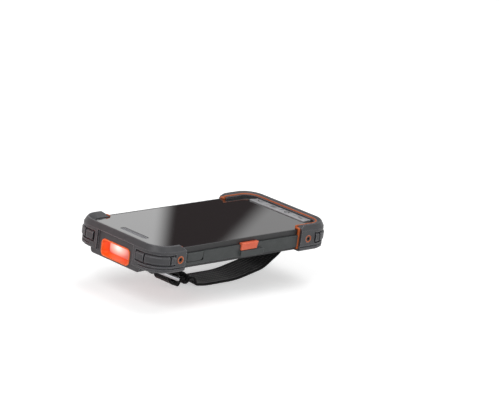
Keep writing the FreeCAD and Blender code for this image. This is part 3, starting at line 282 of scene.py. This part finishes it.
def piece(name, shape, material, body, smooth=True, uv=None):
    """A mesh from points and faces, riding on a body; uv gives a pair of lengths for each point."""
    points, faces = shape
    mesh = bpy.data.meshes.new(name)
    mesh.from_pydata([(x * MM, y * MM, z * MM + GLASS_Z) for x, y, z in points], [], faces)
    if uv:
        layer = mesh.uv_layers.new(name="length_and_width")
        for loop in mesh.loops:
            layer.data[loop.index].uv = uv[loop.vertex_index]
    mesh.materials.append(material)
    for face in mesh.polygons:
        face.use_smooth = smooth
    obj = bpy.data.objects.new(name, mesh)
    bpy.context.scene.collection.objects.link(obj)
    outward = bmesh.new()
    outward.from_mesh(mesh)
    bmesh.ops.recalc_face_normals(outward, faces=outward.faces)
    outward.to_mesh(mesh)
    outward.free()
    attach(obj, body)
    return obj


def prism(outlines, place):
    """Points and faces of flat outlines given thickness; place makes a point of two coordinates and a level."""
    points, faces = [], []
    for outline in outlines:
        first, count = len(points), len(outline)
        points += [place(u, v, 0) for u, v in outline] + [place(u, v, 1) for u, v in outline]
        faces += [tuple(first + k for k in range(count)), tuple(first + count + k for k in range(count))]
        for k in range(count):
            here, there = first + k, first + (k + 1) % count
            faces.append((here, there, there + count, here + count))
    return points, faces


def swept(route, section, closed=False):
    """Points and faces of a section carried along a route, whose entries are a centre and two directions."""
    points = [c + a * u + b * v for c, a, b in route for u, v in section]
    count, rows = len(section), len(route)
    faces = []
    for n in range(rows if closed else rows - 1):
        for k in range(count):
            here, there = n * count, (n + 1) % rows * count
            faces.append((here + k, here + (k + 1) % count, there + (k + 1) % count, there + k))
    if not closed:
        faces += [tuple(range(count)), tuple((rows - 1) * count + k for k in range(count))]
    return points, faces


def tube(spots, r, sides=10):
    """A round bar through points, as points and faces."""
    rows = []
    for n, spot in enumerate(spots):
        along = (spots[min(n + 1, len(spots) - 1)] - spots[max(n - 1, 0)]).normalized()
        across = rows[-1][1] - along * rows[-1][1].dot(along) if rows else along.orthogonal()
        across.normalize()
        rows.append((spot, across, along.cross(across)))
    turns = [2 * math.pi * k / sides for k in range(sides)]
    return swept(rows, [(r * math.cos(a), r * math.sin(a)) for a in turns])


def joined(*parts):
    """Several sets of points and faces as one."""
    points, faces = [], []
    for more_points, more_faces in parts:
        faces += [tuple(k + len(points) for k in face) for face in more_faces]
        points += more_points
    return points, faces


def softened(obj, width_mm, steps=2):
    """Rounds the sharp edges of a piece."""
    bevel = obj.modifiers.new("soft_edges", "BEVEL")
    bevel.width = width_mm * MM
    bevel.segments = steps
    bevel.limit_method = "ANGLE"


def arc_line(cx, cy, r, first, last, wide, steps=12):
    """The outline of a thick arc between two angles in degrees."""
    turns = [math.radians(first + (last - first) * k / steps) for k in range(steps + 1)]
    outer = [(cx + (r + wide / 2) * math.cos(a), cy + (r + wide / 2) * math.sin(a)) for a in turns]
    inner = [(cx + (r - wide / 2) * math.cos(a), cy + (r - wide / 2) * math.sin(a)) for a in reversed(turns)]
    return outer + inner


def rounded_route(corners, step=1.2, arc_step=0.25):
    """Points along straight runs joined by arcs, from corners of Y, Z and radius."""
    spots = [Vector((y, z)) for y, z, r in corners]
    points = []
    at = spots[0]
    for n in range(1, len(spots)):
        if n == len(spots) - 1:
            leave, radius = spots[n], 0
        else:
            towards = (spots[n] - spots[n - 1]).normalized()
            away = (spots[n + 1] - spots[n]).normalized()
            angle = towards.angle(away)
            radius = corners[n][2]
            leave = spots[n] - towards * radius * math.tan(angle / 2)
            enter = spots[n] + away * radius * math.tan(angle / 2)
        count = max(1, round((leave - at).length / step))
        points += [at.lerp(leave, k / count) for k in range(count)]
        if radius:
            turn = 1 if towards.x * away.y - towards.y * away.x > 0 else -1
            centre = leave + Vector((-towards.y, towards.x)) * radius * turn
            count = max(2, round(radius * angle / arc_step))
            for k in range(count):
                points.append(centre + Matrix.Rotation(turn * angle * k / count, 2) @ (leave - centre))
            at = enter
    points.append(spots[-1])
    return points


def round_bar(y, z, r, first, last, step=45):
    """Corners of a route that goes round a bar, from one angle to another in degrees."""
    count = max(1, round(abs(last - first) / step))
    out = r / math.cos(math.radians(abs(last - first) / count / 2))
    angles = [math.radians(first + (last - first) * n / count) for n in range(count + 1)]
    return [(y + out * math.cos(a), z + out * math.sin(a), r * 0.98) for a in angles]


def clamped(value):
    """A value held between 0 and 1."""
    return max(0.0, min(1.0, value))


# Hand strap: elastic webbing looped round the bail, bunched, slung under the case and looped round the bar

STRAP_WIDE, STRAP_THICK = 22.4, 1.7
STRAP_LOW = -41.5 + STRAP_THICK / 2  # middle of the webbing where it hangs lowest
# Bail: arms 31.5 mm long from its pivot, leaning 23 degrees down
BAIL_PIVOT, BAIL_ARM, BAIL_LEAN = (-60, -20.6), 31.5, math.radians(23)
BAIL_BAR = (BAIL_PIVOT[0] + BAIL_ARM * math.cos(BAIL_LEAN), BAIL_PIVOT[1] - BAIL_ARM * math.sin(BAIL_LEAN))
KEY_END_BAR = (64, -18.6)
# Middle radius of the webbing round the bail and round the bar, each with the angles it is wrapped between
BAIL_WRAP, BAR_WRAP = (3.9, -15, 245), (2.5, 0, 250)
strap_corners = [(-26.6, -37.0, 0), (-27.9, -36.45, 0.9)] + round_bar(*BAIL_BAR, *BAIL_WRAP)
# Two bunched folds and then the sling: Y, height over the lowest point and radius of each corner
SLING = [(-25.6, 1.2, 1.6), (-23.2, 7.4, 1.5), (-19.6, 1.4, 1.5), (-15.6, 7.6, 1.7), (-11.2, 0.9, 3),
         (-3, 0, 60), (25, 0, 80), (50, 5, 24), (65.5, 15, 6)]
strap_corners += [(y, STRAP_LOW + height, radius) for y, height, radius in SLING]
strap_corners += round_bar(*KEY_END_BAR, *BAR_WRAP) + [(64.6, -21.6, 0.8), (63.9, -25.0, 0)]

# The webbing's section from one edge to the middle, as shares of its half width and half thickness:
# a round selvedge with a cord inside it
SELVEDGE = [(-1, 0.25), (-0.985, 0.7), (-0.95, 0.98), (-0.9, 1.0), (-0.84, 0.86), (-0.5, 0.9), (0, 0.92)]
# The webbing narrows by 30 percent over 14 mm towards the bail, from 8 mm on the bail's side of the middle
PINCH, PINCH_FROM, PINCH_OVER = 0.3, -8, 14
# It is crumpled between these two places, and fades to flat over 5 mm at each
CRUMPLE_FROM, CRUMPLE_TO, CRUMPLE_FADE = -29, -9, 5
# Waves of the crumple: height, and radians per millimetre across and along; then their share along Y and Z
CRUMPLES = ((0.9, 0.27, 0.9), (0.4, 0.61, -0.5))
CRUMPLE_Y, CRUMPLE_Z = 0.6, 0.35


def ribbon(route, wide, thick):
    """Webbing along a route in Y and Z, as points, faces and the place of each point across and along it."""
    across = SELVEDGE + [(-x, h) for x, h in reversed(SELVEDGE[:-1])]
    section = [(x * wide / 2, h * thick / 2) for x, h in across]
    section += [(x, -h) for x, h in reversed(section)]
    points, uv = [], []
    length = 0.0
    for n, spot in enumerate(route):
        before = route[max(n - 1, 0)]
        after = route[min(n + 1, len(route) - 1)]
        along = (after - before).normalized()
        normal = Vector((-along.y, along.x))
        length += (spot - before).length
        pinch = 1 - PINCH * clamped((PINCH_FROM - spot.x) / PINCH_OVER)
        bunched = clamped(min(spot.x - CRUMPLE_FROM, CRUMPLE_TO - spot.x) / CRUMPLE_FADE)
        for x, h in section:
            wave = bunched * sum(tall * math.sin(x * side + length * run) for tall, side, run in CRUMPLES)
            points.append((x * pinch, spot.x + normal.x * h + wave * CRUMPLE_Y,
                           spot.y + normal.y * h + wave * CRUMPLE_Z))
            uv.append((x * MM, length * MM))
    count = len(section)
    faces = []
    for n in range(len(route) - 1):
        for k in range(count):
            a, b = n * count + k, n * count + (k + 1) % count
            faces.append((a, b, b + count, a + count))
    faces += [tuple(range(count)), tuple(len(points) - count + k for k in range(count))]
    return points, faces, uv


*strap_shape, strap_uv = ribbon(rounded_route(strap_corners), STRAP_WIDE, STRAP_THICK)
strap = piece("hand_strap_webbing", strap_shape, webbing_black, "terminal", uv=strap_uv)
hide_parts("hand_strap")

# Key end liner: the copper rim that shows along the lip, the bands at the wing ends and the screw rings

# The bumper's pads: half width, furthest Y and corner radius
PAD_HALF, PAD_KEY, PAD_ROUND = 41.0, 81.3, 15.0
WING_END, BAND_THICK = 51.5, 1.3
RIM_INSET = 5.75
SCREW_Z, SCREW_Y = -6.5, 58.4
RING_SIDES = 40
# Section of the rim across the lip: from its foot up over a rounded top
RIM_SECTION = [(-0.45, 1.2), (-0.45, 2.2), (-0.32, 2.42), (0, 2.5), (0.32, 2.42), (0.45, 2.2), (0.45, 1.2)]
# Section of a screw ring: radius and distance from the middle plane, with a rounded front
RING_SECTION = [(2.58, 38.4), (2.58, 40.9), (2.46, 41.12), (2.2, 41.2), (1.96, 41.12), (1.84, 40.9),
                (1.84, 38.4)]
# Outline of a band, X and Z: over the case's edge and down its side
BAND_LINE = [(34.8, 0.12), (37.54, 0.12), (37.54, -13.5), (38.9, -13.5), (38.9, 0.1), (38.7, 0.7),
             (38.2, 1.1), (37.4, 1.25), (34.8, 1.25)]


def end_line(inset, start_y, turn_steps=16):
    """Route round the key end at an inset from the pads, from one wing end round to the other."""
    half, far, r = PAD_HALF - inset, PAD_KEY - inset, PAD_ROUND - inset
    halfway = (start_y + far - r) / 2
    spots = [(half, start_y, 0.0), (half, halfway, 0.0)]
    for cx, first in ((half - r, 0), (r - half, 90)):
        for k in range(turn_steps + 1):
            a = math.radians(first + 90 * k / turn_steps)
            spots.append((cx + r * math.cos(a), far - r + r * math.sin(a), a))
    spots += [(-half, halfway, math.pi), (-half, start_y, math.pi)]
    return [(Vector((x, y, 0)), Vector((math.cos(a), math.sin(a), 0)), Vector((0, 0, 1)))
            for x, y, a in spots]


def screw_ring(side):
    """A ring round a side screw, its front edge rounded."""
    centre, outward = Vector((0, SCREW_Y, SCREW_Z)), Vector((side, 0, 0))
    turns = [2 * math.pi * k / RING_SIDES for k in range(RING_SIDES)]
    rows = [(centre, Vector((0, math.cos(a), math.sin(a))), outward) for a in turns]
    return swept(rows, RING_SECTION, closed=True)


def band(side):
    """The band at a wing end."""
    return prism([BAND_LINE], lambda u, v, top: Vector((side * u, WING_END - BAND_THICK * top, v)))


rim = swept(end_line(RIM_INSET, WING_END - BAND_THICK), RIM_SECTION)
key_rim = piece("key_liner_rim", joined(rim, band(1), band(-1), screw_ring(1), screw_ring(-1)),
                tpu_orange, "terminal", smooth=False)
softened(key_rim, 0.12)
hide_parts("key_liner")

# Scan end liner: its copper edge that shows inside each wing tip of the bumper

TIP_LINE = [(35.6, -58.3, 1.5), (34.7, -57.5, 0.95), (34.1, -56.6, 0.5), (34.5, -56.0, 0.3),
            (36.6, -55.7, 0.25)]
TIP_RADIUS = 0.5
tips = [tube([Vector((side * x, y, z)) for x, y, z in TIP_LINE], TIP_RADIUS) for side in (1, -1)]
piece("scan_liner_edge", joined(*tips), tpu_orange, "terminal")

# Earpiece: a mesh of 0.3 mm wire at 0.45 mm pitch in two layers, set into the slot of the glass

EAR_Y, EAR_HALF, EAR_TALL = -64.7, 12.35, 2.05  # the round-ended slot's middle, half length, half height
EAR_STRAIGHT = EAR_HALF - EAR_TALL
WIRE_PITCH, WIRE_HALF, WIRE_DEEP = 0.45, 0.15, 0.12
UPPER_LAYER, LOWER_LAYER = -0.32, -0.44
LEAST_WIRE = 0.2
wires = []
for n in range(-27, 28):
    x = n * WIRE_PITCH
    reach_y = math.sqrt(max(0.0, EAR_TALL ** 2 - max(0.0, abs(x) - EAR_STRAIGHT) ** 2))
    if reach_y > LEAST_WIRE:
        wires.append((x - WIRE_HALF, x + WIRE_HALF, EAR_Y - reach_y, EAR_Y + reach_y, UPPER_LAYER))
for n in range(-4, 5):
    y = n * WIRE_PITCH
    reach_x = EAR_STRAIGHT + math.sqrt(EAR_TALL ** 2 - y ** 2)
    wires.append((-reach_x, reach_x, EAR_Y + y - WIRE_HALF, EAR_Y + y + WIRE_HALF, LOWER_LAYER))
grille = []
for left, right, low, high, z in wires:
    outline = [(left, low), (right, low), (right, high), (left, high)]
    grille.append(prism([outline], lambda u, v, top, z=z: Vector((u, v, z + WIRE_DEEP * top))))
ear = piece("earpiece_woven_mesh", joined(*grille), steel_mesh, "terminal", smooth=False)
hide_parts("earpiece_mesh")

# Marks printed on the front keys: a handset, a list, a house and an arrow, up to 4.7 mm wide

KEY_PITCH, KEY_Y, KEY_FACE = 13.3, 70.4, 0.79
MARK_SCALE, INK_THICK = 1.35, 0.06
MARKS = {
    "phone": [arc_line(0, -1.3, 1.75, 38, 142, 0.42),
              [(1.0, -0.55), (1.75, -0.95), (1.55, -0.05), (1.2, 0.1)],
              [(-1.0, -0.55), (-1.2, 0.1), (-1.55, -0.05), (-1.75, -0.95)]],
    "menu": [[(-1.6, y - 0.17), (1.6, y - 0.17), (1.6, y + 0.17), (-1.6, y + 0.17)] for y in (-0.9, 0, 0.9)],
    "home": [[(-1.75, 0.05), (-1.45, -0.2), (0, 1.05), (1.45, -0.2), (1.75, 0.05), (0, 1.55)],
             [(-1.15, -0.1), (-1.15, -1.4), (1.15, -1.4), (1.15, -0.1), (0.8, 0.2), (0.8, -1.05),
              (-0.8, -1.05), (-0.8, 0.2)]],
    "back": [[(-1.7, 0.2), (-0.5, 1.15), (-0.5, -0.75)],
             [(-0.5, 0.4), (1.5, 0.4), (1.5, -1.2), (1.1, -1.2), (1.1, 0), (-0.5, 0)]],
}
for n, (name, outlines) in enumerate(MARKS.items()):
    middle = (n - 1.5) * KEY_PITCH
    mark = prism(outlines, lambda u, v, top, middle=middle: Vector((
        middle - u * MARK_SCALE, KEY_Y - v * MARK_SCALE, KEY_FACE + INK_THICK * top)))
    piece(f"front_key_{name}_mark", mark, ink_black, f"front_key_{name}", smooth=False)

# Stitches that close both loops of the strap: 1.2 mm of thread each, 2.4 mm apart, seven to a row

STITCH_PITCH, THREAD_RADIUS = 2.4, 0.17
STITCH_LINE = [(-0.6, -0.1), (-0.4, 0.12), (0.4, 0.12), (0.6, -0.1)]  # along the row, and over the webbing
# Each row's Y and Z, and how far the webbing's outer face there leans from straight down, in radians
STITCH_ROWS = ((-30.2, -37.6, -0.35), (66.85, -21.0, 1.4), (66.5, -23.2, 1.4))
stitches = []
for row_y, row_z, lean in STITCH_ROWS:
    out = Vector((0, math.sin(lean), -math.cos(lean)))
    for k in range(-3, 4):
        spots = [Vector((k * STITCH_PITCH + u, row_y, row_z)) + out * over for u, over in STITCH_LINE]
        stitches.append(tube(spots, THREAD_RADIUS, sides=8))
piece("hand_strap_stitches", joined(*stitches), thread_black, "terminal")


# Camera, as calibrated from the photograph: 1.9 m away with a long lens

CAMERA_TURN, CAMERA_TILT, CAMERA_ROLL = (math.radians(a) for a in (43.73, 15.91, 7.51))
CAMERA_AWAY = (29.6, 14.7, 1907.5)  # to the right, up and back from the middle of the glass
SENSOR_MM, FOCAL_PIXELS, PHOTO_WIDTH = 36.0, 2842, 500
back = Vector((math.sin(CAMERA_TURN) * math.cos(CAMERA_TILT), -math.cos(CAMERA_TURN) * math.cos(CAMERA_TILT),
               math.sin(CAMERA_TILT)))
level = Vector((math.cos(CAMERA_TURN), math.sin(CAMERA_TURN), 0))
rise = back.cross(level)
right = level * math.cos(CAMERA_ROLL) + rise * math.sin(CAMERA_ROLL)
up = rise * math.cos(CAMERA_ROLL) - level * math.sin(CAMERA_ROLL)
spot = (right * CAMERA_AWAY[0] + up * CAMERA_AWAY[1] + back * CAMERA_AWAY[2]) * MM + Vector((0, 0, GLASS_Z))
camera_data = bpy.data.cameras.new("camera")
camera_data.sensor_width = SENSOR_MM
camera_data.lens = SENSOR_MM * FOCAL_PIXELS / PHOTO_WIDTH
camera = bpy.data.objects.new("camera", camera_data)
camera.matrix_world = Matrix.Translation(spot) @ Matrix((right, up, back)).transposed().to_4x4()
bpy.context.scene.collection.objects.link(camera)
bpy.context.scene.camera = camera
bpy.context.scene.view_settings.view_transform = "Standard"


# Studio: a white floor and world for the eye, plain soft lamps on the object. Sizes are in metres here

def seen_directly(tree):
    """A light path node, and 1 for rays from the camera and from mirrors."""
    path = add_node(tree, "LightPath")
    either = add_node(tree, "Math", {0: (path, "Is Camera Ray"), 1: (path, "Is Glossy Ray")},
                      operation="MAXIMUM")
    return path, either


def sheet(name, corners):
    """A flat stage piece of four corners."""
    mesh = bpy.data.meshes.new(name)
    mesh.from_pydata(corners, [], [(0, 1, 2, 3)])
    obj = bpy.data.objects.new(name, mesh)
    bpy.context.scene.collection.objects.link(obj)
    return obj


# The world is white to the eye and in reflections, and 0.3 as bright as a lamp
WORLD_AS_LAMP = 0.3
world = bpy.data.worlds.new("studio")
bpy.context.scene.world = world
world.use_nodes = True
tree = world.node_tree
tree.nodes.clear()
path, seen = seen_directly(tree)
seen = add_node(tree, "Math", {0: (seen, 0), 1: (path, "Is Transmission Ray")}, operation="MAXIMUM")
strength = add_node(tree, "MapRange", {"Value": (seen, 0), "To Min": WORLD_AS_LAMP, "To Max": 1.0})
sky = add_node(tree, "Background", {"Color": WHITE, "Strength": (strength, "Result")})
add_node(tree, "OutputWorld", {"Surface": (sky, 0)})

# The floor glows a little to the eye, so that it is white where no shadow falls
FLOOR_REACH, FLOOR_DROP, FLOOR_GLOW = 6.0, 0.0005, 0.5
floor = sheet("floor", [(-FLOOR_REACH, -FLOOR_REACH, 0), (FLOOR_REACH, -FLOOR_REACH, 0),
                        (FLOOR_REACH, FLOOR_REACH, 0), (-FLOOR_REACH, FLOOR_REACH, 0)])
floor.location.z = -FLOOR_DROP
floor_paper, tree, shader, _ = finish("floor_white_paper", **{
    "Base Color": grey(0.8), "Roughness": 0.9, "Emission Color": WHITE})
_, seen = seen_directly(tree)
floor_glow = add_node(tree, "Math", {0: (seen, 0), 1: FLOOR_GLOW}, operation="MULTIPLY")
tree.links.new(floor_glow.outputs[0], shader.inputs["Emission Strength"])
# From below the paper is clear, so that the back of the terminal can be looked at
side = add_node(tree, "NewGeometry")
through = add_node(tree, "BsdfTransparent")
paper = add_node(tree, "MixShader", {0: (side, "Backfacing"), 1: (shader, 0), 2: (through, 0)})
tree.links.new(paper.outputs[0], tree.nodes["Material Output"].inputs["Surface"])
floor.data.materials.append(floor_paper)

# A dark studio card behind the terminal, which shows only as a soft dark band in the screen glass
CARD_AWAY, CARD_LEFT, CARD_RIGHT, CARD_TALL = 0.25, -0.15, 0.25, 0.3
card = sheet("dark_card", [(CARD_LEFT, 0, 0), (CARD_RIGHT, 0, 0), (CARD_RIGHT, 0, CARD_TALL),
                           (CARD_LEFT, 0, CARD_TALL)])
far_way = Vector((-math.sin(CAMERA_TURN), math.cos(CAMERA_TURN), 0))
place = Matrix.Translation(far_way * CARD_AWAY + Vector((0, 0, GLASS_Z)))
card.matrix_world = place @ Matrix.Rotation(CAMERA_TURN, 4, "Z")
card.visible_camera = False
card.visible_diffuse = False
card.visible_shadow = False
card.visible_transmission = False
# Where the card's cover changes along it: up at the left, down to about half at a slanted line, and out at
# the right end. Each has where it starts and ends, and the cover before and after
COVER_UP, COVER_DOWN, COVER_OUT = (-0.044, -0.026, 0.0, 1.0), (0.068, 0.088, 1.0, 0.48), (0.14, 0.24, 1.0, 0.0)
COVER_SLANT = 0.72
card_felt = bpy.data.materials.new("card_felt_black")
card_felt.use_nodes = True
tree = card_felt.node_tree
tree.nodes.clear()
where = (add_node(tree, "TexCoord"), "Object")
axes = add_node(tree, "SeparateXYZ", {0: where})
slanted = add_node(tree, "Math", {0: (axes, "Z"), 1: COVER_SLANT, 2: (axes, "X")}, operation="MULTIPLY_ADD")
fades = []
for along, (first, last, before, after) in (((axes, "X"), COVER_UP), ((slanted, 0), COVER_DOWN),
                                            ((axes, "X"), COVER_OUT)):
    fade = add_node(tree, "MapRange", {"Value": along, "From Min": first, "From Max": last, "To Min": before,
                                       "To Max": after}, interpolation_type="SMOOTHSTEP")
    fades.append((fade, "Result"))
cover = fades[0]
for fade in fades[1:]:
    cover = (add_node(tree, "Math", {0: cover, 1: fade}, operation="MULTIPLY"), 0)
dark = add_node(tree, "Emission", {"Color": linear("463F3F"), "Strength": 1.0})
clear = add_node(tree, "BsdfTransparent")
felt = add_node(tree, "MixShader", {0: cover, 1: (clear, 0), 2: (dark, 0)})
add_node(tree, "OutputMaterial", {"Surface": (felt, 0)})
card.data.materials.append(card_felt)


# Lamps

def lamp(data, place, aim, watts):
    """Places a lamp's data in the scene, turned to a point."""
    data.energy = watts
    obj = bpy.data.objects.new(data.name, data)
    obj.location = place
    obj.rotation_euler = (Vector(aim) - Vector(place)).to_track_quat("-Z", "Y").to_euler()
    bpy.context.scene.collection.objects.link(obj)
    return obj


MIDDLE = (0, 0, 0.03)
for name, place, size, watts in (("key_lamp", (0.4, -1.1, 1.3), 0.9, 10),
                                 ("top_lamp", (-0.2, 0.5, 1.5), 1.2, 9),
                                 ("side_lamp", (1.5, 0.2, 0.6), 0.7, 4)):
    data = bpy.data.lights.new(name, "AREA")
    data.size = size
    lamp(data, place, MIDDLE, watts)

# The scan light's spill: inside the bezel, and faintly on the bumper round it. Neither shows in reflections
SPILL_RED = linear("FF5A4C")[:3]
SPILL_AIM = (-0.008, -0.08, GLASS_Z)
near = bpy.data.lights.new("scan_spill_near", "POINT")
near.shadow_soft_size = 0.002
far = bpy.data.lights.new("scan_spill_far", "SPOT")
far.spot_size = math.radians(38)
far.spot_blend = 1.0
far.shadow_soft_size = 0.02
for data, place, watts in ((near, (-0.005, -0.0785, GLASS_Z - 0.0095), 0.0004),
                           (far, (-0.045, -0.2, GLASS_Z + 0.03), 0.3)):
    data.color = SPILL_RED
    lamp(data, place, SPILL_AIM, watts).visible_glossy = False
